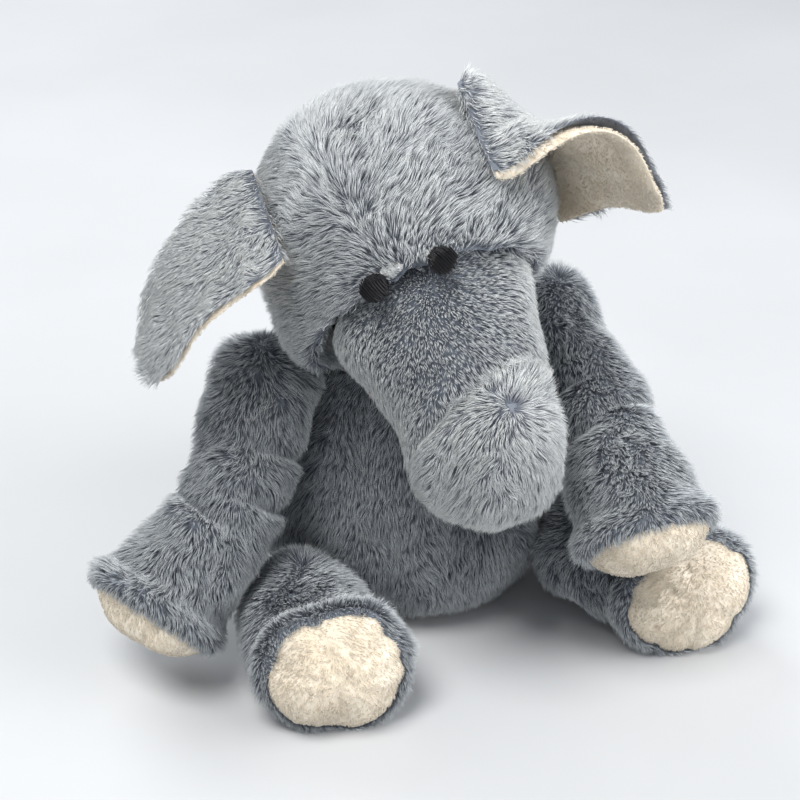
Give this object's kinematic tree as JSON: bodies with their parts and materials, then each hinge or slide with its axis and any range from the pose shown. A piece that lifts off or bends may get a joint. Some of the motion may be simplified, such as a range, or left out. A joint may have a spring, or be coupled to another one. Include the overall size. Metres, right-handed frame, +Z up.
{
  "type": "stuffed elephant",
  "caption": "Seated soft plush elephant in long blue-grey pile with a drooping trunk, floppy lined ears, cream soles and embroidered eyes.",
  "frame": {"origin": "centre of the flat seat that the body rests on", "axes": "+Z up, the elephant faces -Y, its left side is +X"},
  "size_m": [0.2595, 0.233, 0.2457],
  "materials": {
    "body_plush": "long pile plush",
    "head_plush": "long pile plush",
    "cream_plush": "short pile plush",
    "filling": "polyester fibre",
    "pouch_cloth": "woven cloth",
    "black_thread": "satin embroidery thread",
    "seam_thread": "sewing thread"
  },
  "bodies": {
    "body": {"body_skin_left": "body_plush", "body_skin_right": "body_plush", "body_filling": "filling", "pellet_pouch": "pouch_cloth"},
    "neck": {"neck_seam": "seam_thread"},
    "head": {"head_skin_left": "head_plush", "head_skin_right": "head_plush", "head_filling": "filling", "eye_left": "black_thread", "eye_right": "black_thread"},
    "trunk": {"trunk_skin_upper": "head_plush", "trunk_skin_lower": "head_plush", "trunk_cap": "head_plush", "trunk_filling": "filling"},
    "tail": {"tail": "body_plush"},
    "ear_left": {"ear_left_outer": "head_plush", "ear_left_lining": "cream_plush"},
    "ear_right": {"ear_right_outer": "head_plush", "ear_right_lining": "cream_plush"},
    "arm_left": {"arm_left_skin_outer": "body_plush", "arm_left_skin_inner": "body_plush", "arm_left_sole": "cream_plush", "arm_left_filling": "filling"},
    "arm_right": {"arm_right_skin_outer": "body_plush", "arm_right_skin_inner": "body_plush", "arm_right_sole": "cream_plush", "arm_right_filling": "filling"},
    "leg_left": {"leg_left_skin_upper": "body_plush", "leg_left_skin_lower": "body_plush", "leg_left_sole": "cream_plush", "leg_left_filling": "filling"},
    "leg_right": {"leg_right_skin_upper": "body_plush", "leg_right_skin_lower": "body_plush", "leg_right_sole": "cream_plush", "leg_right_filling": "filling"}
  },
  "joints": [
    {"name": "neck_turn", "type": "hinge", "parent": "body", "child": "neck", "pos_m": [-0.016, -0.026, 0.18], "axis": [-0.2198, -0.522, 0.8242], "range_deg": [-35, 15]},
    {"name": "head_nod", "type": "hinge", "parent": "neck", "child": "head", "pos_m": [-0.016, -0.026, 0.18], "axis": [1, 0, 0], "range_deg": [-20, 4]},
    {"name": "trunk_bend", "type": "hinge", "parent": "head", "child": "trunk", "pos_m": [-0.01457, -0.05125, 0.15788], "axis": [0.887, -0.2749, 0.371], "range_deg": [-14, 4], "stiffness_Nm_per_rad": 0.6},
    {"name": "ear_left_flap", "type": "hinge", "parent": "head", "child": "ear_left", "pos_m": [0.00457, -0.05469, 0.22913], "axis": [-0.0874, -0.8687, -0.4876], "range_deg": [0, 35], "stiffness_Nm_per_rad": 0.08},
    {"name": "ear_right_flap", "type": "hinge", "parent": "head", "child": "ear_right", "pos_m": [-0.07412, -0.03031, 0.19622], "axis": [0.0526, 0.8795, 0.473], "range_deg": [-20, 15], "stiffness_Nm_per_rad": 0.08},
    {"name": "arm_left_lift", "type": "hinge", "parent": "body", "child": "arm_left", "pos_m": [0.067, -0.009, 0.116], "axis": [-0.6557, -0.2156, 0.7236], "range_deg": [0, 45]},
    {"name": "arm_right_lift", "type": "hinge", "parent": "body", "child": "arm_right", "pos_m": [-0.068, -0.006, 0.1135], "axis": [-0.3378, 0.9351, -0.107], "range_deg": [0, 45]},
    {"name": "leg_left_splay", "type": "hinge", "parent": "body", "child": "leg_left", "pos_m": [0.062, -0.051, 0.026], "axis": [0, 0, 1], "range_deg": [0, 18]},
    {"name": "leg_right_splay", "type": "hinge", "parent": "body", "child": "leg_right", "pos_m": [-0.069, -0.044, 0.026], "axis": [0, 0, -1], "range_deg": [0, 18]},
    {"name": "tail_swing", "type": "hinge", "parent": "body", "child": "tail", "pos_m": [0, 0.082, 0.04], "axis": [0, 0, 1], "range_deg": [-15, 15], "stiffness_Nm_per_rad": 0.02}
  ]
}
